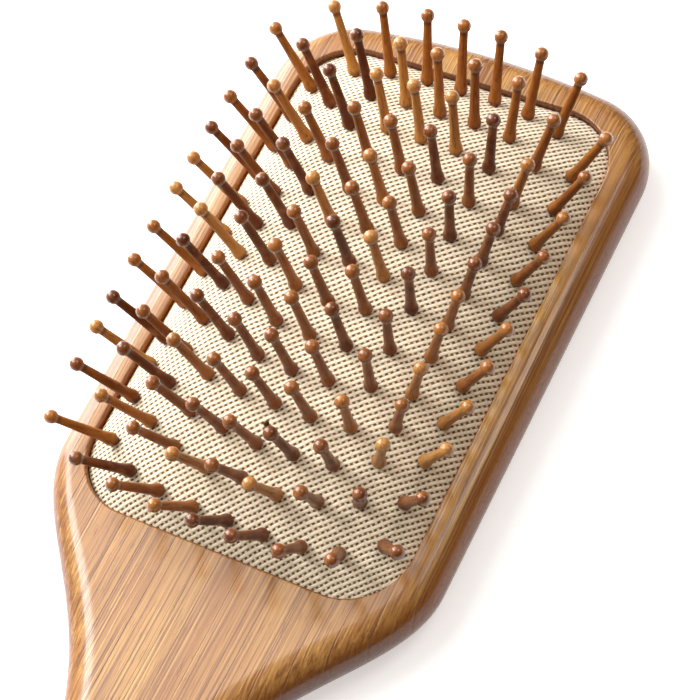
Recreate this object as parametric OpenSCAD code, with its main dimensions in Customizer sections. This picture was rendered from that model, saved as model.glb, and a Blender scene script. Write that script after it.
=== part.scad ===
// Paddle brush: a bamboo paddle with a routed pocket, an air cushion of rubber with a woven
// facing, and turned wooden pins that stand through both. +Y runs to the far end of the head,
// +Z out of the bristle face, and the origin is under the middle of the brush.

/* [Bamboo body] */
// Overall length
overall_l = 247; // [235:1:260]
// Width of the head
head_w = 81; // [80:0.5:84]
// From the middle of the pad to the far end of the head
head_far = 62.6; // [62:0.2:66]
// Radius of the two far corners
corner_r = 16.5; // [13:0.5:20]
// Radius of the gentle crown along the far edge
crown_r = 180; // [150:10:400]
// Thickness of the board
body_t = 12; // [12:0.5:16]
// Rounding of the edges on the bristle side
face_round = 5; // [3:0.5:5]
// Rounding of the edges on the back, measured inward
back_round = 8; // [4:0.5:8]
// Width of the neck
neck_w = 21.4; // [20:0.2:26]
// Width of the handle where it is widest
handle_w = 29; // [26:0.5:32]

/* [Pocket] */
// Width of the pocket for the cushion
pocket_w = 68; // [66:0.5:68]
// Length of the pocket
pocket_l = 108; // [104:0.5:110]
// Radius of the pocket's corners
pocket_r = 12.5; // [10:0.5:15]
// Depth of the pocket
pocket_d = 8; // [7.5:0.25:9]
// Depth of the undercut groove that holds the cushion's lip
groove_d = 2; // [1.5:0.1:2.5]

/* [Cushion] */
// Rise of the dome from its rim to its crown
dome_h = 10; // [7:0.5:11]
// How far the rim lies under the bristle face
rim_drop = 1; // [0.6:0.1:1.5]
// Thickness of the woven facing
fabric_t = 0.6; // [0.4:0.1:0.8]
// Thickness of the rubber
rubber_t = 1.4; // [1.2:0.1:1.8]
// Diameter of the vent hole
vent_d = 1.2; // [0.8:0.1:1.6]

/* [Pins] */
// From the facing to the middle of the ball tip
pin_l = 15; // [12:0.5:16]
// Diameter of the ball tip
ball_d = 2.76; // [2.4:0.02:3]
// Diameter of the shaft just under the ball
shaft_top_d = 1.6; // [1.4:0.05:1.8]
// Diameter of the shaft just above its foot
shaft_low_d = 2.1; // [1.9:0.05:2.3]
// Diameter of the flared foot
foot_d = 2.7; // [2.5:0.05:3]

/* [Hidden] */
// Rows of pins run along the head. Each is its distance from the middle and its pins' places.
ROW_X = [-28.7, -22, -15, -7.4, 0, 7.4, 15, 22, 28.7];
MIDDLE_Y = [50, 42, 34.5, 26.5, 19, 12, 4.5, -4.5, -12, -19.5, -26.5, -34.5, -41, -48.5];
SECOND_Y = [50, 42, 34.5, 27, 19, 11.5, 4, -3.5, -11.5, -19, -26.5, -34, -41.5, -48.5];
THIRD_Y = [49, 41.5, 33, 24.5, 16.5, 8.5, 0, -9, -17, -25.5, -33, -40, -48];
FOURTH_Y = [47, 37.5, 28, 21.5, 14.5, 7, 0, -7, -15, -22, -29, -37, -46.5];
LEFT_Y = [41, 33, 25.5, 18.5, 11.5, 4.5, -4.5, -12, -20, -26, -33, -42];
RIGHT_Y = [39, 31, 22.6, 14.5, 6.5, -1, -9, -17, -25, -33.5, -42];
ROW_Y = [LEFT_Y, FOURTH_Y, THIRD_Y, SECOND_Y, MIDDLE_Y, SECOND_Y, THIRD_Y, FOURTH_Y, RIGHT_Y];
VENT_Y = -30.5;

// Each row is rocked by the rubber in three stretches.
PARTS = ["far", "mid", "near"];
part_limit = 22.5;

pad_y = overall_l / 2 - head_far;
half_w = head_w / 2;
handle_end = head_far - overall_l;

// The shoulders sweep from the head's straight sides into the neck.
shoulder_y = -44;
shoulder_pull = 19;
neck_y = -111;
neck_pull = 38;
handle_wide_y = -158;
handle_pull = 18;
end_pull = 16;
end_round = 8.5;

// The outline has this many points on each stretch of one half.
CROWN_STEPS = 8;
CORNER_STEPS = 10;
SHOULDER_STEPS = 22;
HANDLE_STEPS = 10;
END_STEPS = 12;
ROUND_STEPS = 6;

// The dome is steepest at its rim, so its rings crowd together there.
DOME_RINGS = 11;
CORNER_POINTS = 8;
SIDE_POINTS = 7;
END_POINTS = 5;
power_x = 3;
power_y = 3.6;
rim_blend = 8;
wall_gap = 0.15;
lip_h = 1.7;
lip_gap = 0.2;
lip_top = rim_drop + fabric_t + 0.75;
lip_inner = 0.955;
glue_t = 0.1;

tail_d = 1.6;
tail_head_d = 3;
tail_head_h = 0.9;
tail_l = 2.35;
foot_h = 2.1;
hole_gap = 0.05;
// A pin leans out nearly as much as the dome under it.
lean = 0.92;

function bezier(a, b, c, d, steps) = [
    for (i = [1:steps])
        let (t = i / steps, s = 1 - t)
        s * s * s * a + 3 * s * s * t * b + 3 * s * t * t * c + t * t * t * d
];

// One half of the outline, from the middle of the far edge to the end of the handle
function half_outline() =
    let (
        corner_x = half_w - corner_r,
        crown_y = head_far - crown_r,
        turn = asin(corner_x / (crown_r - corner_r)),
        corner_y = crown_y + (crown_r - corner_r) * cos(turn),
        side = [half_w, shoulder_y],
        neck = [neck_w / 2, neck_y],
        wide = [handle_w / 2, handle_wide_y],
        tip = [0, handle_end]
    )
    concat(
        [for (i = [0:CROWN_STEPS])
            [crown_r * sin(turn * i / CROWN_STEPS),
             crown_y + crown_r * cos(turn * i / CROWN_STEPS)]],
        [for (i = [1:CORNER_STEPS])
            let (a = 90 - turn - (90 - turn) * i / CORNER_STEPS)
            [corner_x + corner_r * cos(a), corner_y + corner_r * sin(a)]],
        [for (i = [1:4]) [half_w, corner_y + (shoulder_y - corner_y) * i / 4]],
        bezier(side, side - [0, shoulder_pull], neck + [0, neck_pull], neck, SHOULDER_STEPS),
        bezier(neck, neck - [0, handle_pull], wide + [0, handle_pull], wide, HANDLE_STEPS),
        bezier(wide, wide - [0, end_pull], tip + [end_round, 0], tip, END_STEPS)
    );

// The whole outline, clockwise from the middle of the far edge
function outline() =
    let (half = half_outline(), n = len(half))
    concat(half, [for (i = [n - 2:-1:1]) [-half[i].x, half[i].y]]);

// The outline moved inward by d along its normals
function inset(points, d) =
    let (n = len(points))
    [for (i = [0:n - 1])
        let (
            along = points[(i + 1) % n] - points[(i + n - 1) % n],
            inward = [along.y, -along.x] / norm(along)
        )
        points[i] + d * inward];

function at_height(points, z) = [for (p = points) [p.x, p.y, z]];

// The triangles between rings of n points that follow each other from ring 0 to ring last
function side_faces(n, last) = [
    for (k = [0:last - 1]) for (i = [0:n - 1])
        let (j = (i + 1) % n, a = k * n, b = a + n)
        each [[a + i, b + i, a + j], [a + j, b + i, b + j]]
];

// Strips across a flat symmetrical ring, whose first point is on the middle line
function strip_faces(n) = concat(
    [[0, 1, n - 1]],
    [for (i = [1:n / 2 - 2]) each [[i, i + 1, n - i], [n - i, i + 1, n - i - 1]]],
    [[n / 2 - 1, n / 2, n / 2 + 1]]
);

// A closed skin over symmetrical rings that have the same number of points. Its ends are flat.
module skin(rings) {
    n = len(rings[0]);
    last = len(rings) - 1;
    first_end = strip_faces(n);
    last_end = [for (f = first_end) [for (v = reversed(f)) last * n + v]];
    polyhedron([for (r = rings) each r], concat(first_end, side_faces(n, last), last_end), convexity = 6);
}

// The same, but each end closes on a point
module pointed_skin(start, rings, end) {
    n = len(rings[0]);
    last = len(rings) - 1;
    first = (last + 1) * n;
    start_fan = [for (i = [0:n - 1]) [first, i, (i + 1) % n]];
    end_fan = [for (i = [0:n - 1]) [first + 1, last * n + (i + 1) % n, last * n + i]];
    points = concat([for (r = rings) each r], [start, end]);
    polyhedron(points, concat(start_fan, side_faces(n, last), end_fan), convexity = 6);
}

// Heights are measured from the bristle face in what follows.
module on_pad() {
    translate([0, pad_y, body_t]) children();
}

// The pocket's outline, grown by d
function pad_ring(d) =
    let (
        r = pocket_r + d,
        cx = pocket_w / 2 - pocket_r,
        cy = pocket_l / 2 - pocket_r,
        corners = [[cx, cy, 90], [cx, -cy, 0], [-cx, -cy, -90], [-cx, cy, -180]]
    )
    [for (k = [0:3])
        let (c = corners[k], next = corners[(k + 1) % 4], steps = k % 2 == 0 ? SIDE_POINTS : END_POINTS)
        each concat(
            [for (i = [0:CORNER_POINTS])
                let (a = c[2] - 90 * i / CORNER_POINTS)
                [c.x + r * cos(a), c.y + r * sin(a)]],
            [for (i = [1:steps - 1])
                let (
                    a = c[2] - 90,
                    from = [c.x + r * cos(a), c.y + r * sin(a)],
                    to = [next.x + r * cos(a), next.y + r * sin(a)]
                )
                from + (to - from) * i / steps]
        )];

// A prism with the pocket's shape, grown by d, from z_low to z_high
module pocket_prism(d, z_low, z_high) {
    translate([0, 0, z_low]) linear_extrude(z_high - z_low) polygon(pad_ring(d));
}

module bamboo_body() {
    edge = outline();
    back_rise = body_t - face_round;
    back_rings = [for (i = [0:ROUND_STEPS])
        let (a = 90 * i / ROUND_STEPS)
        at_height(inset(edge, back_round * (1 - sin(a))), -body_t + back_rise * (1 - cos(a)))];
    face_rings = [for (i = [1:ROUND_STEPS])
        let (a = 90 * i / ROUND_STEPS)
        at_height(inset(edge, face_round * (1 - cos(a))), -face_round * (1 - sin(a)))];
    color("burlywood") on_pad() difference() {
        skin(concat(back_rings, face_rings));
        pocket_prism(0, -pocket_d, 1);
        pocket_prism(groove_d, -lip_top - lip_h - lip_gap, -lip_top + lip_gap);
    }
}

// The dome's height over its rim, as a share of the height at its crown
function bulge(x, y) =
    (1 - pow(min(1, abs(2 * x / pocket_w)), power_x)) * (1 - pow(min(1, abs(2 * y / pocket_l)), power_y));

// The dome over one ring of its rim, shrunk to the share s of its size
function dome_ring(s, drop) = [
    for (p = pad_ring(-wall_gap))
        [s * p.x, s * p.y,
         -rim_drop - drop + dome_h * (bulge(s * p.x, s * p.y) - bulge(p.x, p.y) * pow(s, rim_blend))]
];

function dome_top(x, y) = -rim_drop + dome_h * bulge(x, y);
function dome_rings(limit, drop) = [
    for (i = [1:DOME_RINGS])
        let (s = limit * sin(90 * i / DOME_RINGS)) dome_ring(s, drop)
];
function crown(drop) = [0, 0, dome_h - rim_drop - drop];
function reversed(list) = [for (i = [len(list) - 1:-1:0]) list[i]];

// A pin's lean, as the slope of its axis, at a place on the pad
function lean_at(v, half, power) =
    lean * dome_h * power * sign(v) * pow(abs(v / half), power - 1) / half;
function pin_axis(x, y) =
    let (v = [lean_at(x, pocket_w / 2, power_x), lean_at(y, pocket_l / 2, power_y), 1]) v / norm(v);

module stand_at(x, y) {
    axis = pin_axis(x, y);
    translate([x, y, dome_top(x, y)]) rotate([0, acos(axis.z), atan2(axis.y, axis.x)]) children();
}

// A hole through the cushion for each pin, and the vent
module cushion_holes() {
    for (row = [0:8]) for (y = ROW_Y[row])
        stand_at(ROW_X[row], y) cylinder(h = 8, r = tail_d / 2 + hole_gap, center = true, $fn = 24);
    stand_at(0, VENT_Y) cylinder(h = 8, d = vent_d, center = true, $fn = 24);
}

// A film of glue keeps the rubber off the facing.
module rubber_cushion() {
    lip_low = lip_top + lip_h;
    lip_out = groove_d - lip_gap;
    top = fabric_t + glue_t;
    inner = fabric_t + rubber_t;
    lip_ring = [for (p = dome_ring(lip_inner, 0)) [p.x, p.y]];
    rings = concat(
        dome_rings(lip_inner, inner),
        [at_height(lip_ring, -lip_low),
         at_height(pad_ring(lip_out), -lip_low),
         at_height(pad_ring(lip_out), -lip_top),
         at_height(pad_ring(-wall_gap), -lip_top)],
        reversed(dome_rings(1, top))
    );
    color("wheat") on_pad() difference() {
        pointed_skin(crown(inner), rings, crown(top));
        cushion_holes();
    }
}

module fabric_cover() {
    rings = concat(dome_rings(1, fabric_t), reversed(dome_rings(1, 0)));
    color("ivory") on_pad() difference() {
        pointed_skin(crown(fabric_t), rings, crown(0));
        cushion_holes();
    }
}

// A turned pin stands on the origin, with its tail and retaining head below.
module pin() {
    tail_r = tail_d / 2;
    head_r = tail_head_d / 2;
    foot_r = foot_d / 2;
    ball_r = ball_d / 2;
    meet = asin(shaft_top_d / ball_d);
    tail_points = [
        [0, -tail_l - tail_head_h], [head_r - 0.3, -tail_l - tail_head_h],
        [head_r, -tail_l - tail_head_h + 0.3], [head_r, -tail_l],
        [tail_r, -tail_l], [tail_r, 0]
    ];
    foot_points = [
        [foot_r - 0.12, 0.4], [foot_r, 0.75], [foot_r - 0.1, 1.2], [shaft_low_d / 2, foot_h]
    ];
    ball_points = [for (i = [0:7])
        let (a = meet - 90 + (180 - meet) * i / 7)
        [ball_r * cos(a), pin_l + ball_r * sin(a)]];
    rotate_extrude($fn = 32) polygon(concat(tail_points, foot_points, ball_points));
}

function in_part(y, part) =
    part == "far" ? y > part_limit : part == "near" ? y < -part_limit : abs(y) <= part_limit;

module pin_group(row, part) {
    color(row % 2 == 0 ? "sienna" : "peru") on_pad()
        for (y = ROW_Y[row - 1]) if (in_part(y, part)) stand_at(ROW_X[row - 1], y) pin();
}

bamboo_body();
rubber_cushion();
fabric_cover();
for (row = [1:9]) for (part = PARTS)
    pin_group(row, part);
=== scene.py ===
import math
import random

import bmesh
import bpy
import numpy as np
from mathutils import Matrix, Vector
from mathutils.kdtree import KDTree


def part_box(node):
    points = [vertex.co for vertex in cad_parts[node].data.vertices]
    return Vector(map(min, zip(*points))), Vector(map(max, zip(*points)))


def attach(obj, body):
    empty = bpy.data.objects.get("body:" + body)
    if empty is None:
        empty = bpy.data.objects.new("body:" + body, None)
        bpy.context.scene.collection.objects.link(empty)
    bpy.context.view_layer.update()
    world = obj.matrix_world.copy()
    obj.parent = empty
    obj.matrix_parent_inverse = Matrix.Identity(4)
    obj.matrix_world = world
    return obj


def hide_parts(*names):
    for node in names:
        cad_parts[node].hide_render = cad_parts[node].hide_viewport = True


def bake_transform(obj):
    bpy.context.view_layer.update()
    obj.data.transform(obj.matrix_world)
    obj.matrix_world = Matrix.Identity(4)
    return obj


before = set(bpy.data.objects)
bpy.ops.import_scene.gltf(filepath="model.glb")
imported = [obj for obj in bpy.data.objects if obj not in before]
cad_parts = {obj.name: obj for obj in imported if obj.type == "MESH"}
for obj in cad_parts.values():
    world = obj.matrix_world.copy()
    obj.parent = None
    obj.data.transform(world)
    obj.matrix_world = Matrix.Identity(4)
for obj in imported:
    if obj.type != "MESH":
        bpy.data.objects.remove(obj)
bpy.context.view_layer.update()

# The looks of a bamboo paddle brush: a lacquered bamboo paddle, a woven facing on a rubber air
# cushion, and turned wooden pins. Shapes are worked out in millimetres in the pad's own frame,
# with the pad's middle at x = y = 0 and the bristle face at z = 0, and to_frame() takes them to
# the row frame in metres.

body_low, body_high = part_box("bamboo_body")

MM = 0.001
OVERALL_L = (body_high.y - body_low.y) / MM
HALF_W = body_high.x / MM
BODY_T = body_high.z / MM

# The board's outline, as the design has it
HEAD_FAR = 62.6
CORNER_R = 16.5
CROWN_R = 180.0
SHOULDER_Y = -44.0
SHOULDER_PULL = 19.0
NECK = (10.7, -111.0)
NECK_PULL = 38.0
HANDLE = (14.5, -158.0)
HANDLE_PULL = 18.0
END_PULL = 16.0
END_ROUND = 8.5
FACE_ROUND = 5.0
BACK_ROUND = 8.0
NECK_ROUND = 6.6
WIDER_FROM = -46.0
WIDER_TO = -84.0
FLAT_START = 0.15
PAD_Y = body_high.y / MM - HEAD_FAR

# The pocket and the cushion in it
POCKET_W = 68.0
POCKET_L = 108.0
POCKET_R = 12.5
POCKET_D = 8.0
MOUTH_ROUND = 0.5
MOUTH_START = 0.1
MOUTH_STEPS = 6
GROOVE_D = 2.0
GROOVE_TOP = 2.15
GROOVE_LOW = 4.25
WALL_GAP = 0.15
RIM_DROP = 1.0
RIM_CURL = 0.7
CURL_POWER = 24
DOME_H = 10.0
POWER_X = 3.0
POWER_Y = 3.6
RIM_BLEND = 8.0
FABRIC_T = 0.6
RUBBER_T = 1.4
GLUE_T = 0.05
RUBBER_REACH = 0.985
LIP_OUT = 1.8
LIP_TOP = 2.35
LIP_LOW = 4.05
LIP_BEND = 0.3
LIP_NECK = 1.5
LIP_FOOT = 1.3
VENT_Y = -30.5
VENT_R = 0.6

# A pin, from the facing up
PIN_L = 15.0
BALL_R = 1.38
TAIL_LOW = 3.25
TAIL_HEAD = 2.35
TAIL_R = 1.5
TOP_R = 0.83
LOW_R = 1.04
SHAFT_LOW = 3.1


def to_frame(points):
    """Points of the pad's frame, in millimetres, in the row frame, in metres."""
    return (np.asarray(points, float) + (0, PAD_Y, BODY_T)) * MM


# ---------------------------------------------------------------- outlines


def bezier(a, b, c, d, steps):
    t = np.linspace(0, 1, steps + 1)[1:, None]
    s = 1 - t
    return s**3 * a + 3 * s * s * t * b + 3 * s * t * t * c + t**3 * d


def arc(centre, radius, start, end, steps):
    angles = np.radians(np.linspace(start, end, steps + 1))
    return np.array(centre) + radius * np.stack([np.cos(angles), np.sin(angles)], 1)


def spaced(points, count):
    """A closed line's points, spread evenly along it. The first stays where it is."""
    closed = np.vstack([points, points[:1]])
    along = np.concatenate([[0], np.cumsum(np.linalg.norm(np.diff(closed, axis=0), axis=1))])
    wanted = np.linspace(0, along[-1], count, endpoint=False)
    return np.stack([np.interp(wanted, along, closed[:, k]) for k in (0, 1)], 1)


def board_outline(count):
    """The board's outline, clockwise from the middle of the far edge."""
    corner_x = HALF_W - CORNER_R
    turn = math.degrees(math.asin(corner_x / (CROWN_R - CORNER_R)))
    crown_y = HEAD_FAR - CROWN_R
    corner_y = crown_y + (CROWN_R - CORNER_R) * math.cos(math.radians(turn))
    side = np.array((HALF_W, SHOULDER_Y))
    neck = np.array(NECK)
    wide = np.array(HANDLE)
    tip = np.array((0, HEAD_FAR - OVERALL_L))
    half = np.vstack([
        arc((0, crown_y), CROWN_R, 90, 90 - turn, 60),
        arc((corner_x, corner_y), CORNER_R, 90 - turn, 0, 90)[1:],
        bezier(side, side - (0, SHOULDER_PULL), neck + (0, NECK_PULL), neck, 200),
        bezier(neck, neck - (0, HANDLE_PULL), wide + (0, HANDLE_PULL), wide, 120),
        bezier(wide, wide - (0, END_PULL), tip + (END_ROUND, 0), tip, 120),
    ])
    return spaced(np.vstack([half, half[-2:0:-1] * (-1, 1)]), count)


def inward(points):
    """The inward normals of a clockwise closed line."""
    along = np.roll(points, -1, 0) - np.roll(points, 1, 0)
    along /= np.linalg.norm(along, axis=1)[:, None]
    return np.stack([along[:, 1], -along[:, 0]], 1)


def pad_outline(grown, count=None):
    """The pocket's outline grown by a distance, clockwise from the middle of the far edge."""
    radius = POCKET_R + grown
    cx, cy = POCKET_W / 2 - POCKET_R, POCKET_L / 2 - POCKET_R
    half = np.vstack([
        [(0, cy + radius)],
        arc((cx, cy), radius, 90, 0, 40),
        arc((cx, -cy), radius, 0, -90, 40),
        [(0, -cy - radius)],
    ])
    line = np.vstack([half, half[-2:0:-1] * (-1, 1)])
    return line if count is None else spaced(line, count)


def at_height(points, z):
    return np.column_stack([points, np.full(len(points), z)])


# ---------------------------------------------------------------- mesh making


def new_piece(name, points, faces, sharp=40):
    """A mesh object in the row frame from points of the pad's frame."""
    mesh = bpy.data.meshes.new(name)
    mesh.from_pydata(to_frame(points).tolist(), [], [list(map(int, f)) for f in faces])
    fix = bmesh.new()
    fix.from_mesh(mesh)
    bmesh.ops.recalc_face_normals(fix, faces=fix.faces)
    fix.to_mesh(mesh)
    fix.free()
    mesh.polygons.foreach_set("use_smooth", [True] * len(mesh.polygons))
    mesh.set_sharp_from_angle(angle=math.radians(sharp))
    piece = bpy.data.objects.new(name, mesh)
    bpy.context.scene.collection.objects.link(piece)
    return piece


def ring_faces(first, second, count):
    """Quads between two rings of count points, given by the numbers of their first points."""
    return [
        (first + i, first + (i + 1) % count, second + (i + 1) % count, second + i)
        for i in range(count)
    ]


def flat_faces(points, loops):
    """Triangles that fill a flat face between closed loops, each a list of point numbers."""
    work = bmesh.new()
    made = {i: work.verts.new((*points[i][:2], 0)) for loop in loops for i in loop}
    numbers = {v: i for i, v in made.items()}
    edges = [
        work.edges.new((made[loop[k]], made[loop[(k + 1) % len(loop)]]))
        for loop in loops for k in range(len(loop))
    ]
    bmesh.ops.triangle_fill(work, use_beauty=True, use_dissolve=False, edges=edges)
    faces = [[numbers[v] for v in f.verts] for f in work.faces]
    work.free()
    return faces


def dress(piece, material, body, slot, *nodes):
    piece.data.materials.append(material)
    if body:
        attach(piece, body)
    if nodes:
        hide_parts(*nodes)
    return piece


# ---------------------------------------------------------------- the board

BOARD_POINTS = 560
POCKET_POINTS = 320
LIP_POINTS = 240
ROUND_STEPS = 14


def eased(value, start, end):
    """0 before start and 1 after end, with a smooth step between."""
    share = np.clip((value - start) / (end - start), 0, 1)
    return share * share * (3 - 2 * share)


def face_width(edge):
    """How far in the face's rounding reaches: it is wider from the neck on."""
    return FACE_ROUND + (NECK_ROUND - FACE_ROUND) * eased(edge[:, 1:], WIDER_FROM, WIDER_TO)


def board_rings():
    """The board's skin from the flat of its back to the flat of its face."""
    edge = board_outline(BOARD_POINTS)
    turned = inward(edge)
    width = face_width(edge)
    quarter = np.radians(np.linspace(0, 90, ROUND_STEPS + 1))
    back_rise = BODY_T - FACE_ROUND
    rings = [at_height(edge + turned * (BACK_ROUND + FLAT_START), -BODY_T)]
    for a in quarter:
        rings.append(at_height(
            edge + turned * BACK_ROUND * (1 - math.sin(a)),
            -BODY_T + back_rise * (1 - math.cos(a)),
        ))
    for a in quarter[1:]:
        rings.append(at_height(
            edge + turned * width * (1 - math.cos(a)),
            -FACE_ROUND * (1 - math.sin(a)),
        ))
    rings.append(at_height(edge + turned * (width + FLAT_START), 0))
    return rings


def pocket_rings():
    """The pocket from its rounded mouth, past the groove, to the floor."""
    rings = [at_height(pad_outline(MOUTH_ROUND + MOUTH_START, POCKET_POINTS), 0)]
    for a in np.radians(np.linspace(90, 0, MOUTH_STEPS + 1)):
        rings.append(at_height(
            pad_outline(MOUTH_ROUND * (1 - math.cos(a)), POCKET_POINTS),
            -MOUTH_ROUND * (1 - math.sin(a)),
        ))
    steps = [
        (0, GROOVE_TOP), (GROOVE_D, GROOVE_TOP),
        (GROOVE_D, GROOVE_LOW), (0, GROOVE_LOW), (0, POCKET_D),
    ]
    return rings + [at_height(pad_outline(d, POCKET_POINTS), -z) for d, z in steps]


def bamboo_paddle(material):
    outer, pocket = board_rings(), pocket_rings()
    points = np.vstack(outer + pocket)
    start = BOARD_POINTS * len(outer)
    faces = []
    for k in range(len(outer) - 1):
        faces += ring_faces(k * BOARD_POINTS, (k + 1) * BOARD_POINTS, BOARD_POINTS)
    for k in range(len(pocket) - 1):
        first = start + k * POCKET_POINTS
        faces += ring_faces(first, first + POCKET_POINTS, POCKET_POINTS)
    back = list(range(BOARD_POINTS))
    rim = list(range(start - BOARD_POINTS, start))
    mouth = list(range(start, start + POCKET_POINTS))
    floor = list(range(len(points) - POCKET_POINTS, len(points)))
    for loops in ([back], [rim, mouth], [floor]):
        faces += flat_faces(points, loops)
    piece = new_piece("bamboo_paddle", points, faces, sharp=50)
    return dress(piece, material, "paddle", "bamboo", "bamboo_body")


# ---------------------------------------------------------------- the cushion

FACING_CELLS = (150, 230)
RUBBER_CELLS = (90, 140)
RIM_CROWDING = 0.8
DIMPLE = 0.28
DIMPLE_R = 1.9


def bulge(x, y):
    across = 1 - np.minimum(1, np.abs(2 * x / POCKET_W)) ** POWER_X
    return across * (1 - np.minimum(1, np.abs(2 * y / POCKET_L)) ** POWER_Y)


def pad_grid(cells_x, cells_y, reach=1.0):
    """A grid over the pad: (places, each place's share of the way out, its rim place)."""
    rim = pad_outline(-WALL_GAP)
    bearing = np.arctan2(rim[:, 0] / POCKET_W, rim[:, 1] / POCKET_L)
    order = np.argsort(bearing)
    u, v = np.meshgrid(np.linspace(-1, 1, cells_x + 1), np.linspace(-1, 1, cells_y + 1))
    out = np.maximum(np.abs(u), np.abs(v)).ravel()
    towards = np.arctan2(u, v).ravel()
    edge = np.stack([
        np.interp(towards, bearing[order], rim[order, k], period=2 * math.pi) for k in (0, 1)
    ], 1)
    quarter = math.pi / 2 * RIM_CROWDING
    share = reach * np.sin(out * math.pi / 2 * RIM_CROWDING) / math.sin(quarter)
    return edge * share[:, None], share, edge


def dome_sheet(cells_x, cells_y, drop, reach, pins):
    """The dome's surface over the pad, sunk by drop, with a dimple round each pin."""
    place, share, edge = pad_grid(cells_x, cells_y, reach)
    x, y = place.T
    z = -RIM_DROP - drop + DOME_H * (bulge(x, y) - bulge(*edge.T) * share**RIM_BLEND)
    z -= RIM_CURL * share**CURL_POWER
    for base in pins:
        away = (x - base[0]) ** 2 + (y - base[1]) ** 2
        z -= DIMPLE * np.exp(-away / DIMPLE_R**2) * (1 - share**40)
    return np.column_stack([place, z])


def grid_faces(cells_x, cells_y, first=0):
    row = cells_x + 1
    corners = [first + j * row + i for j in range(cells_y) for i in range(cells_x)]
    return [(a, a + 1, a + row + 1, a + row) for a in corners]


def grid_rim(cells_x, cells_y, first=0):
    """The numbers of a grid's outermost points, once round."""
    row = cells_x + 1
    side_a = [first + i for i in range(cells_x)]
    side_b = [first + j * row + cells_x for j in range(cells_y)]
    side_c = [first + cells_y * row + i for i in range(cells_x, 0, -1)]
    side_d = [first + j * row for j in range(cells_y, 0, -1)]
    return side_a + side_b + side_c + side_d


def dome_shell(name, top_drop, low_drop, reach, cells, pins):
    """A closed shell between two depths under the dome."""
    top = dome_sheet(*cells, top_drop, reach, pins)
    low = dome_sheet(*cells, low_drop, reach, pins)
    count = len(top)
    rim_top, rim_low = grid_rim(*cells), grid_rim(*cells, count)
    sides = [
        (rim_top[k - 1], rim_top[k], rim_low[k], rim_low[k - 1]) for k in range(len(rim_top))
    ]
    faces = grid_faces(*cells) + grid_faces(*cells, count) + sides
    return new_piece(name, np.vstack([top, low]), faces)


def keep(piece, name, kind, values):
    """Stores an attribute of a piece's points."""
    field = "vector" if kind == "FLOAT_VECTOR" else "value"
    piece.data.attributes.new(name, kind, "POINT").data.foreach_set(field, np.ravel(values))


def cloth_length(place, half, power):
    """How much longer the cloth is than its shadow, from the pad's middle to each place."""
    steps = np.linspace(0, 1, 41)[:, None]
    slope = DOME_H * power * np.abs(steps * place / half) ** (power - 1) / half
    return np.sqrt(1 + slope**2).mean(0)


def keep_weave(piece):
    """Stores where each point of the facing was on the flat cloth, in millimetres."""
    mesh = piece.data
    co = np.zeros(len(mesh.vertices) * 3)
    mesh.vertices.foreach_get("co", co)
    x, y, _ = (co.reshape(-1, 3) / MM - (0, PAD_Y, BODY_T)).T
    length_x = cloth_length(x, POCKET_W / 2, POWER_X)
    length_y = cloth_length(y, POCKET_L / 2, POWER_Y)
    flat = np.column_stack([x * length_x, y * length_y, np.zeros(len(x))])
    keep(piece, "cloth_place", "FLOAT_VECTOR", flat)


def cut_vent(piece):
    """Cuts the vent through a shell."""
    bpy.ops.mesh.primitive_cylinder_add(
        vertices=28, radius=VENT_R * MM, depth=8 * MM,
        location=to_frame((0, VENT_Y, DOME_H * float(bulge(0, VENT_Y)) - RIM_DROP)),
    )
    drill = bpy.context.object
    change = piece.modifiers.new("vent", "BOOLEAN")
    change.operation = "DIFFERENCE"
    change.solver = "EXACT"
    change.object = drill
    drilled = bpy.data.meshes.new_from_object(piece.evaluated_get(bpy.context.evaluated_depsgraph_get()))
    piece.modifiers.clear()
    piece.data = drilled
    bpy.data.objects.remove(drill)


def outside_height(places, cells, pins):
    """The height of the dome's outside over each place, from the outside's nearest points."""
    outside = dome_sheet(*cells, 0, 1.0, pins)
    tree = KDTree(len(outside))
    for i, (x, y, _) in enumerate(outside):
        tree.insert((x, y, 0), i)
    tree.balance()
    heights = []
    for x, y, _ in places:
        found = tree.find_n((x, y, 0), 3)
        shares = [1 / (gap + 0.001) for _, _, gap in found]
        heights.append(sum(w * outside[i][2] for w, (_, i, _) in zip(shares, found)) / sum(shares))
    return np.array(heights)


def across_rim(piece, pins):
    """Puts each point at the height of the dome's outside over its place, bakes the piece's
    transform into its mesh, and then puts the points back where they were."""
    mesh = piece.data
    co = np.zeros(len(mesh.vertices) * 3)
    mesh.vertices.foreach_get("co", co)
    places = co.reshape(-1, 3) / MM - (0, PAD_Y, BODY_T)
    places[:, 2] = outside_height(places, FACING_CELLS, pins)
    mesh.vertices.foreach_set("co", to_frame(places).ravel())
    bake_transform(piece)
    mesh.vertices.foreach_set("co", co)
    mesh.update()


def woven_facing(material, pins):
    piece = dome_shell("woven_facing", 0, FABRIC_T - GLUE_T, 1.0, FACING_CELLS, pins)
    cut_vent(piece)
    keep_weave(piece)
    dress(piece, material, None, "fabric", "fabric_cover")
    across_rim(piece, pins)
    return piece


def rubber_dome(material, pins):
    low = FABRIC_T + RUBBER_T
    piece = dome_shell("rubber_dome", FABRIC_T, low, RUBBER_REACH, RUBBER_CELLS, pins)
    cut_vent(piece)
    dress(piece, material, None, "rubber", "rubber_cushion")
    across_rim(piece, pins)
    return piece


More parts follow.
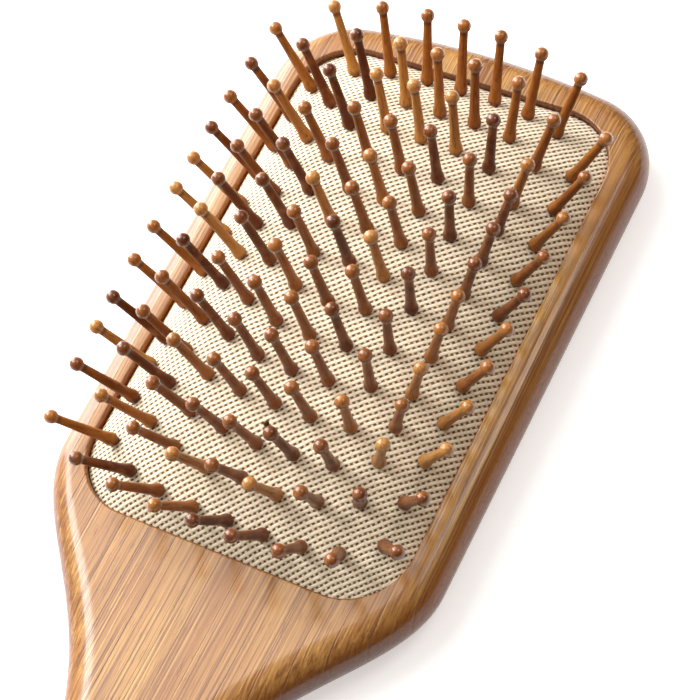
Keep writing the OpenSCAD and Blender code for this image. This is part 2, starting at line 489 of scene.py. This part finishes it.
def rubber_lip(material):
    """The lip in the pocket's groove, and the short neck that joins it to the dome."""
    count = LIP_POINTS
    outer = [
        (LIP_OUT - LIP_BEND, -LIP_LOW), (LIP_OUT, -LIP_LOW + LIP_BEND),
        (LIP_OUT, -LIP_TOP - LIP_BEND), (LIP_OUT - LIP_BEND, -LIP_TOP), (-WALL_GAP, -LIP_TOP),
        (-WALL_GAP, -RIM_DROP - RIM_CURL - FABRIC_T), (-LIP_NECK, -RIM_DROP - FABRIC_T),
        (-LIP_FOOT, -LIP_LOW),
    ]
    rings = [at_height(pad_outline(d, count), z) for d, z in outer]
    faces = []
    for k in range(len(rings)):
        faces += ring_faces(k * count, (k + 1) % len(rings) * count, count)
    piece = new_piece("rubber_lip", np.vstack(rings), faces)
    return dress(piece, material, "paddle", "rubber")


# ---------------------------------------------------------------- the pins

PIN_SIDES = 28


def pin_profile():
    """A turned pin's (radius, height), from the end of its tail to the top of its ball."""
    tail = [
        (0, -TAIL_LOW), (TAIL_R - 0.3, -TAIL_LOW), (TAIL_R - 0.08, -TAIL_LOW + 0.1),
        (TAIL_R, -TAIL_LOW + 0.3), (TAIL_R, -TAIL_HEAD), (TOP_R, -TAIL_HEAD), (TOP_R, -0.05),
    ]
    foot = [
        (1.1, 0.1), (1.26, 0.26), (1.35, 0.55), (1.37, 0.9), (1.34, 1.3), (1.27, 1.7),
        (1.18, 2.15), (1.1, 2.6),
    ]
    meet = math.asin(TOP_R / BALL_R)
    neck_h = PIN_L - BALL_R * math.cos(meet)
    t = np.linspace(0, 1, 9)[:-1]
    taper = TOP_R + (LOW_R - TOP_R) * (1 - t) ** 1.25
    shaft = np.stack([taper, SHAFT_LOW + (neck_h - SHAFT_LOW) * t], 1)
    angles = np.linspace(meet - math.pi / 2, math.pi / 2, 13)
    ball = np.stack([BALL_R * np.cos(angles), PIN_L + BALL_R * np.sin(angles)], 1)
    collar = [(TOP_R + 0.02, neck_h - 0.12)]
    return np.vstack([tail, foot, shaft, collar, ball[1:-1], [(0, PIN_L + BALL_R)]])


def lathe(profile):
    """The (points, faces) of a profile turned about Z. Its first and last points are on the axis."""
    turn = np.linspace(0, 2 * math.pi, PIN_SIDES, endpoint=False)
    middle = profile[1:-1]
    points = np.vstack([
        [(0, 0, profile[0, 1])],
        *[np.stack([r * np.cos(turn), r * np.sin(turn), np.full(PIN_SIDES, h)], 1) for r, h in middle],
        [(0, 0, profile[-1, 1])],
    ])
    last = len(points) - 1
    faces = []
    for k in range(len(middle) - 1):
        faces += ring_faces(1 + k * PIN_SIDES, 1 + (k + 1) * PIN_SIDES, PIN_SIDES)
    top = last - PIN_SIDES
    for i in range(PIN_SIDES):
        j = (i + 1) % PIN_SIDES
        faces += [(0, 1 + j, 1 + i), (top + i, top + j, last)]
    return points, faces


def loose_parts(node):
    """The points of each separate solid in a CAD node, in millimetres in the pad's frame."""
    work = bmesh.new()
    work.from_mesh(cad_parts[node].data)
    bmesh.ops.remove_doubles(work, verts=work.verts, dist=1e-6)
    seen, parts = set(), []
    for start in work.verts:
        if start in seen:
            continue
        seen.add(start)
        part, edge = [], [start]
        while edge:
            v = edge.pop()
            part.append(v.co / MM)
            for e in v.link_edges:
                other = e.other_vert(v)
                if other not in seen:
                    seen.add(other)
                    edge.append(other)
        parts.append(np.array(part) - (0, PAD_Y, BODY_T))
    work.free()
    return parts


def pin_stand(points):
    """A CAD pin's (foot on the facing, axis), from its points."""
    middle = points.mean(0)
    axis = np.linalg.svd(points - middle, full_matrices=False)[2][0]
    axis *= np.sign(axis[2])
    apex = points[np.argmax(points @ axis)]
    for _ in range(3):
        heights = points @ axis
        tail_end = points[heights < heights.min() + 0.05]
        centre = (tail_end.min(0) + tail_end.max(0)) / 2
        axis = (apex - centre) / np.linalg.norm(apex - centre)
    return apex - axis * (PIN_L + BALL_R), axis


def pin_row(node, stands, shape, material, dice):
    """One group of pins: each has its own size, turn and tone within a turner's slack."""
    points, faces, places, tones, heights = [], [], [], [], []
    shape_points, shape_faces = shape
    for base, axis in stands:
        width = dice.uniform(0.97, 1.0)
        spin = Matrix.Rotation(dice.uniform(0, 2 * math.pi), 3, "Z")
        upright = Vector((0, 0, 1)).rotation_difference(Vector(axis)).to_matrix()
        turned = np.array(upright @ spin)
        first = sum(len(p) for p in points)
        local = shape_points * (width, width, 1)
        points.append(base + local @ turned.T)
        faces += [[first + i for i in f] for f in shape_faces]
        places.append(local + (0, 0, dice.uniform(0, 400)))
        tones.append(np.full(len(local), dice.random()))
        heights.append(local[:, 2])
    body = node.replace("pin_row", "pins_", 1)
    piece = new_piece(f"turned_{node.replace('pin_', 'pins_', 1)}", np.vstack(points), faces)
    keep(piece, "pin_place", "FLOAT_VECTOR", np.vstack(places))
    keep(piece, "pin_tone", "FLOAT", np.concatenate(tones))
    keep(piece, "pin_height", "FLOAT", np.concatenate(heights))
    return dress(piece, material, body, "pin_wood", node)


# ---------------------------------------------------------------- materials

# The width of a bamboo strip, and the distance between the weave's ribs
STRIP_W = 5.2
WEAVE_PITCH = 1.06


class Graph:
    """A node material: its methods add nodes and return their outputs."""

    def __init__(self, name):
        self.material = bpy.data.materials.new(name)
        self.material.use_nodes = True
        self.tree = self.material.node_tree
        self.shader = self.tree.nodes["Principled BSDF"]

    def add(self, kind, inputs=(), out=0, **settings):
        node = self.tree.nodes.new(kind)
        for key, value in settings.items():
            setattr(node, key, value)
        for key, value in dict(inputs).items():
            self.feed(node.inputs[key], value)
        return node.outputs[out]

    def feed(self, socket, value):
        if isinstance(value, bpy.types.NodeSocket):
            self.tree.links.new(value, socket)
        else:
            socket.default_value = value

    def math(self, operation, a, b=0.0, c=0.0):
        return self.add("ShaderNodeMath", {0: a, 1: b, 2: c}, operation=operation)

    def split(self, vector):
        node = self.tree.nodes.new("ShaderNodeSeparateXYZ")
        self.feed(node.inputs[0], vector)
        return node.outputs

    def join(self, x, y, z):
        return self.add("ShaderNodeCombineXYZ", {0: x, 1: y, 2: z})

    def stretched(self, vector, x, y, z):
        return self.add("ShaderNodeVectorMath", {0: vector, 1: (x, y, z)}, operation="MULTIPLY")

    def noise(self, vector, detail=3.0, rough=0.55, **kind):
        settings = {"Vector": vector, "Scale": 1.0, "Detail": detail, "Roughness": rough}
        return self.add("ShaderNodeTexNoise", settings, **kind)

    def between(self, value, low, high, to_low=0.0, to_high=1.0):
        return self.add(
            "ShaderNodeMapRange",
            {"Value": value, "From Min": low, "From Max": high, "To Min": to_low, "To Max": to_high},
            interpolation_type="SMOOTHSTEP",
        )

    def mix(self, share, a, b, blend="MIX"):
        node = self.tree.nodes.new("ShaderNodeMix")
        node.data_type = "RGBA"
        node.blend_type = blend
        for key, value in ((0, share), (6, a), (7, b)):
            self.feed(node.inputs[key], value)
        return node.outputs[2]

    def ramp(self, value, stops):
        node = self.tree.nodes.new("ShaderNodeValToRGB")
        self.feed(node.inputs[0], value)
        band = node.color_ramp.elements
        while len(band) < len(stops):
            band.new(0.5)
        for element, (place, colour) in zip(band, stops):
            element.position = place
            element.color = colour
        return node.outputs[0]

    def bump(self, height, distance, strength=1.0):
        return self.add(
            "ShaderNodeBump", {"Height": height, "Distance": distance, "Strength": strength}
        )

    def look(self, **sockets):
        for key, value in sockets.items():
            self.feed(self.shader.inputs[key.replace("_", " ")], value)


def rgb(red, green, blue):
    """A linear colour from the 0-255 values of a screen colour."""
    linear = [
        ((c / 255 + 0.055) / 1.055) ** 2.4 if c > 10 else c / 3294.6 for c in (red, green, blue)
    ]
    return (*linear, 1)


def object_place(graph):
    """The object's own coordinates in millimetres."""
    node = graph.tree.nodes.new("ShaderNodeTexCoord")
    return graph.stretched(node.outputs["Object"], 1000, 1000, 1000)


def bamboo_material():
    """Lacquered bamboo: strips glued side by side, fibres and pores along the brush."""
    g = Graph("lacquered_bamboo")
    place = object_place(g)
    drift = g.noise(g.stretched(place, 0.015, 0.01, 0.02), 1)
    x, y, z = g.split(place)
    across = g.math("MULTIPLY_ADD", drift, 2.5, x)
    strip = {"W": g.math("MULTIPLY_ADD", across, 1 / STRIP_W, 3.37), "Scale": 1.0, "Randomness": 0.8}
    tone = g.split(g.add("ShaderNodeTexVoronoi", strip, out=1, voronoi_dimensions="1D"))[0]
    gap = g.add("ShaderNodeTexVoronoi", strip, voronoi_dimensions="1D", feature="DISTANCE_TO_EDGE")
    seam = g.between(gap, 0.008, 0.04, 1, 0)

    fibre_place = g.join(across, y, z)
    bands = g.noise(g.stretched(fibre_place, 0.8, 0.008, 0.5), 2)
    long_lines = g.noise(g.stretched(fibre_place, 2.1, 0.010, 1.0), 1, 0.5)
    fibres = g.noise(g.stretched(fibre_place, 3.1, 0.035, 1.6), 3, 0.7)
    hairs = g.noise(g.stretched(fibre_place, 8, 0.10, 5), 2, 0.6)
    pores = g.noise(g.stretched(fibre_place, 5.5, 0.22, 4), 2, 0.5)
    pore = g.between(pores, 0.60, 0.72)
    cloud = g.noise(g.stretched(place, 0.05, 0.03, 0.05), 2)

    wood = g.ramp(
        g.math("MULTIPLY_ADD", tone, 0.26, g.math("MULTIPLY", bands, 0.82)),
        [(0.25, rgb(144, 92, 36)), (0.5, rgb(166, 114, 50)), (0.78, rgb(186, 138, 68))],
    )
    wood = g.mix(g.between(long_lines, 0.56, 0.66, 0, 0.8), wood, rgb(206, 162, 86))
    wood = g.mix(g.between(long_lines, 0.35, 0.45, 0.85, 0), wood, rgb(104, 58, 16))
    wood = g.mix(g.between(fibres, 0.52, 0.64, 0, 0.68), wood, rgb(108, 60, 18))
    wood = g.mix(g.between(fibres, 0.30, 0.46, 0.5, 0), wood, rgb(200, 154, 80))
    wood = g.mix(g.between(hairs, 0.5, 0.7, 0, 0.4), wood, rgb(106, 60, 20))
    wood = g.mix(g.math("MULTIPLY", pore, 0.55), wood, rgb(82, 42, 12))
    wood = g.mix(g.between(cloud, 0.35, 0.65, 0, 0.35), wood, rgb(148, 90, 32))
    wood = g.mix(g.math("MULTIPLY", seam, 0.5), wood, rgb(90, 48, 14))

    # The rounded edges cut through the fibres: they drink more lacquer and go darker. The darkening of
    # the slopes is partly that stain and partly painted shade on the sides.
    normal = g.split(g.add("ShaderNodeNewGeometry", out="Normal"))
    slope = g.between(normal[2], 0.35, 0.95, 1, 0)
    cut = g.between(g.math("ABSOLUTE", normal[1]), 0.15, 0.75)
    specks = g.between(g.noise(g.stretched(place, 2.4, 0.9, 2.4), 3, 0.7), 0.5, 0.68)
    wood = g.mix(g.math("MULTIPLY", slope, 0.68), wood, rgb(150, 74, 8))
    wood = g.mix(g.math("MULTIPLY", cut, 0.65), wood, rgb(84, 38, 6))
    wood = g.mix(g.math("MULTIPLY", g.math("MULTIPLY", slope, specks), 0.55), wood, rgb(56, 24, 8))

    height = g.math("MULTIPLY_ADD", seam, -0.9, g.math("MULTIPLY", fibres, 0.6))
    height = g.math("MULTIPLY_ADD", pore, -0.45, height)
    g.look(
        Base_Color=wood,
        Roughness=g.between(fibres, 0.3, 0.75, 0.34, 0.48),
        Normal=g.bump(height, 0.00008),
    )
    g.shader.inputs["Coat Weight"].default_value = 0.5
    g.shader.inputs["Coat Roughness"].default_value = 0.15
    g.shader.inputs["Specular IOR Level"].default_value = 0.35
    g.shader.inputs["IOR"].default_value = 1.5
    return g.material


def attribute_place(g, name):
    return g.add("ShaderNodeAttribute", out="Vector", attribute_name=name)


def facing_material():
    """Cream cloth in an open plain weave on the bias: plump ribs, thinner cross threads, and painted
    shade in the gaps.
    """
    g = Graph("cream_weave")
    place = attribute_place(g, "cloth_place")
    wander = g.noise(g.stretched(place, 0.25, 0.25, 1), 2)
    x, y, _ = g.split(place)
    shift = g.math("MULTIPLY_ADD", wander, 0.5, -0.25)
    scale = 1 / (WEAVE_PITCH * math.sqrt(2))
    along = g.math("MULTIPLY_ADD", g.math("ADD", x, y), scale, shift)
    aside = g.math("MULTIPLY_ADD", g.math("SUBTRACT", y, x), scale, shift)
    wave_along = g.math("SINE", g.math("MULTIPLY", along, math.pi))
    wave_aside = g.math("SINE", g.math("MULTIPLY", aside, math.pi))
    over = g.math("MULTIPLY", wave_along, wave_aside)
    rib = g.between(g.math("ABSOLUTE", wave_aside), 0.28, 0.98)
    cross = g.between(g.math("ABSOLUTE", wave_along), 0.40, 0.98)
    rib_h = g.math("MULTIPLY", rib, g.math("MULTIPLY_ADD", over, 0.14, 0.86))
    cross_h = g.math("MULTIPLY", cross, g.math("MULTIPLY_ADD", over, -0.22, 0.48))
    height = g.math("MAXIMUM", rib_h, cross_h)

    slubs = g.noise(g.stretched(place, 0.9, 0.9, 1), 2)
    fuzz = g.noise(g.stretched(place, 8, 8, 1), 3, 0.6)
    # The colour follows the weave's height: painted shade darkens the gaps and the threads' sides, and
    # the crowns are painted lighter.
    cloth = g.ramp(height, [
        (0.08, rgb(66, 42, 20)), (0.30, rgb(160, 126, 86)),
        (0.54, rgb(236, 218, 184)), (0.85, rgb(255, 247, 224)),
    ])
    cloth = g.mix(g.between(slubs, 0.4, 0.7, 0, 0.16), cloth, rgb(214, 186, 142))
    cloth = g.mix(g.between(fuzz, 0.4, 0.75, 0, 0.12), cloth, rgb(255, 249, 232))
    relief = g.math("MULTIPLY_ADD", fuzz, 0.12, height)
    g.look(
        Base_Color=cloth,
        Roughness=g.between(fuzz, 0.3, 0.7, 0.78, 0.92),
        Normal=g.bump(relief, 0.00014),
    )
    g.shader.inputs["Sheen Weight"].default_value = 0.2
    g.shader.inputs["Sheen Roughness"].default_value = 0.5
    g.shader.inputs["Specular IOR Level"].default_value = 0.3
    return g.material


def rubber_material():
    """Matt tan rubber with a fine moulded grain and a little bloom."""
    g = Graph("tan_rubber")
    place = object_place(g)
    grain = g.noise(g.stretched(place, 3, 3, 3), 4, 0.6)
    bloom = g.noise(g.stretched(place, 0.12, 0.12, 0.12), 2)
    tint = g.mix(g.between(bloom, 0.35, 0.65), rgb(176, 134, 92), rgb(196, 156, 112))
    tint = g.mix(g.between(grain, 0.45, 0.75, 0, 0.3), tint, rgb(140, 100, 64))
    g.look(
        Base_Color=tint,
        Roughness=g.between(grain, 0.3, 0.7, 0.5, 0.66),
        Normal=g.bump(grain, 0.00004),
    )
    return g.material


def pin_material():
    """Oiled and lacquered wood, one tone a pin, with its grain along the pin."""
    g = Graph("turned_pin_wood")
    place = attribute_place(g, "pin_place")
    tone = g.add("ShaderNodeAttribute", out="Fac", attribute_name="pin_tone")
    wood = g.ramp(tone, [
        (0.00, rgb(92, 42, 12)), (0.16, rgb(112, 56, 16)), (0.34, rgb(134, 74, 24)),
        (0.62, rgb(154, 92, 34)), (0.85, rgb(176, 114, 48)), (1.0, rgb(196, 140, 72)),
    ])
    grain = g.noise(g.stretched(place, 2.2, 2.2, 0.16), 3, 0.6)
    lines = g.noise(g.stretched(place, 6, 6, 0.4), 2, 0.6)
    blotch = g.noise(g.stretched(place, 0.5, 0.5, 0.28), 2)
    wood = g.mix(g.between(grain, 0.5, 0.7, 0, 0.5), wood, rgb(74, 30, 14))
    wood = g.mix(g.between(lines, 0.52, 0.68, 0, 0.4), wood, rgb(62, 26, 12))
    wood = g.mix(g.between(blotch, 0.45, 0.7, 0, 0.25), wood, rgb(206, 132, 68))
    rings = g.math("SINE", g.math("MULTIPLY", g.split(place)[2], 21.0))

    # The ball is dipped once more. Painted shade darkens the neck under the ball and the foot where it
    # stands on the facing.
    up = g.add("ShaderNodeAttribute", out="Fac", attribute_name="pin_height")
    dipped = g.between(up, PIN_L - 1.0, PIN_L - 0.3)
    under = g.between(g.math("ABSOLUTE", g.math("SUBTRACT", up, PIN_L - 1.35)), 0.1, 0.8, 1, 0)
    foot = g.between(up, 0.3, 1.5, 1, 0)
    wood = g.mix(g.math("MULTIPLY", under, 0.6), wood, rgb(66, 26, 8))
    wood = g.mix(g.math("MULTIPLY", foot, 0.55), wood, rgb(72, 30, 10))
    height = g.math("MULTIPLY_ADD", rings, 0.06, g.math("MULTIPLY", g.math("ADD", grain, lines), -0.5))
    g.look(
        Base_Color=wood,
        Roughness=g.between(grain, 0.3, 0.7, 0.30, 0.42),
        Normal=g.bump(height, 0.00006),
    )
    g.look(Coat_Weight=g.math("MULTIPLY_ADD", dipped, 0.85, 0.10))
    g.shader.inputs["Coat Roughness"].default_value = 0.13
    g.shader.inputs["Specular IOR Level"].default_value = 0.15
    g.shader.inputs["IOR"].default_value = 1.5
    return g.material


def floor_material():
    g = Graph("pale_floor")
    place = object_place(g)
    speck = g.noise(g.stretched(place, 0.02, 0.02, 0.02), 2)
    pale = g.mix(speck, (0.88, 0.88, 0.88, 1), (0.92, 0.92, 0.92, 1))
    g.look(Base_Color=pale, Roughness=0.9, Emission_Color=pale, Emission_Strength=0.55)
    return g.material


# ---------------------------------------------------------------- the set

SKY_BRIGHT = (-0.75, 0.05, 0.66)
SKY_LEVEL = {"From Min": -0.6, "From Max": 1.0, "To Min": 0.10, "To Max": 0.60}
SKY_WARM = (1.0, 0.60, 0.26, 1)
SKY_NEUTRAL = (1.0, 0.98, 0.95, 1)

# Name, direction from the pad, distance in metres, width, height, watts and tint
SOFTBOXES = [
    ("key", (-0.52, 0.12, 0.84), 0.9, 0.75, 0.60, 5.0, (1.0, 1.0, 1.0)),
    ("spark", (-0.66, -0.04, 0.75), 0.9, 0.28, 0.28, 3.6, (1.0, 1.0, 1.0)),
    ("top", (0.38, 0.34, 0.87), 0.9, 0.3, 0.3, 1.7, (1.0, 0.93, 0.90)),
    ("side", (-0.88, 0.34, 0.30), 0.7, 0.46, 0.60, 8.6, (1.0, 0.96, 0.95)),
]

# The camera's azimuth, elevation and roll in degrees, its distance in metres, and its aim
CAMERA_TURN = (47.668, 59.624, -23.764)
CAMERA_DISTANCE = 0.4251
CAMERA_AIM = (4.406, -8.386, 0)

def make_floor():
    size = 4.0
    corners = [(-size, -size, 0), (size, -size, 0), (size, size, 0), (-size, size, 0)]
    mesh = bpy.data.meshes.new("floor")
    mesh.from_pydata(corners, [], [(0, 1, 2, 3)])
    floor = bpy.data.objects.new("floor", mesh)
    floor.location.z = -0.0002
    bpy.context.scene.collection.objects.link(floor)
    floor.data.materials.append(floor_material())
    floor.visible_diffuse = False


def softbox(name, direction, distance, width, height, power, tint):
    """A rectangular light that faces the pad's middle."""
    light = bpy.data.lights.new(name, "AREA")
    light.shape = "RECTANGLE"
    light.size = width
    light.size_y = height
    light.energy = power
    light.color = tint
    lamp = bpy.data.objects.new(name, light)
    aim = Vector(to_frame((0, 0, 0)))
    away = Vector(direction).normalized()
    lamp.location = aim + away * distance
    lamp.rotation_euler = away.to_track_quat("Z", "Y").to_euler()
    bpy.context.scene.collection.objects.link(lamp)


def light_the_world():
    """A sky that is bright and neutral at the left, and dim and warm at the right."""
    world = bpy.data.worlds.new("studio")
    world.use_nodes = True
    nodes, links = world.node_tree.nodes, world.node_tree.links
    towards = nodes.new("ShaderNodeTexCoord")
    facing = nodes.new("ShaderNodeVectorMath")
    facing.operation = "DOT_PRODUCT"
    facing.inputs[1].default_value = Vector(SKY_BRIGHT)
    links.new(towards.outputs["Generated"], facing.inputs[0])
    level = nodes.new("ShaderNodeMapRange")
    for name, value in SKY_LEVEL.items():
        level.inputs[name].default_value = value
    links.new(facing.outputs["Value"], level.inputs["Value"])
    tint = nodes.new("ShaderNodeMix")
    tint.data_type = "RGBA"
    tint.inputs[6].default_value = SKY_WARM
    tint.inputs[7].default_value = SKY_NEUTRAL
    share = nodes.new("ShaderNodeMapRange")
    share.inputs["From Min"].default_value = -0.5
    share.inputs["From Max"].default_value = 0.5
    links.new(facing.outputs["Value"], share.inputs["Value"])
    links.new(share.outputs["Result"], tint.inputs[0])
    links.new(tint.outputs[2], nodes["Background"].inputs["Color"])
    links.new(level.outputs["Result"], nodes["Background"].inputs["Strength"])
    bpy.context.scene.world = world


def light_the_set():
    """Soft light from the left and above. The side that faces right gets little fill."""
    light_the_world()
    for settings in SOFTBOXES:
        softbox(*settings)


def make_camera():
    """The camera looks at the pad from near the handle's right side, with a roll."""
    azimuth, elevation, roll = (math.radians(a) for a in CAMERA_TURN)
    aim = Vector(to_frame(CAMERA_AIM))
    back = Vector((
        math.sin(azimuth) * math.cos(elevation),
        -math.cos(azimuth) * math.cos(elevation),
        math.sin(elevation),
    ))
    level = Vector((0, 0, 1)).cross(back).normalized()
    upward = back.cross(level)
    right = level * math.cos(roll) + upward * math.sin(roll)
    top = upward * math.cos(roll) - level * math.sin(roll)
    data = bpy.data.cameras.new("camera")
    data.lens = 116.75
    data.sensor_width = 36
    data.clip_start = 0.01
    data.clip_end = 50
    camera = bpy.data.objects.new("camera", data)
    turn = Matrix((right, top, back)).transposed().to_4x4()
    camera.matrix_world = Matrix.Translation(aim + back * CAMERA_DISTANCE) @ turn
    bpy.context.scene.collection.objects.link(camera)
    bpy.context.scene.camera = camera


def main():
    dice = random.Random(8)
    pin_nodes = sorted(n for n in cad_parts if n.startswith("pin_row"))
    stands = {n: [pin_stand(part) for part in loose_parts(n)] for n in pin_nodes}
    bases = [base for node in pin_nodes for base, _ in stands[node]]
    bamboo_paddle(bamboo_material())
    rubber = rubber_material()
    rubber_dome(rubber, bases)
    rubber_lip(rubber)
    woven_facing(facing_material(), bases)
    shape, wood = lathe(pin_profile()), pin_material()
    for node in pin_nodes:
        pin_row(node, stands[node], shape, wood, dice)
    make_floor()
    light_the_set()
    make_camera()
    bpy.context.scene.view_settings.view_transform = "Standard"


main()
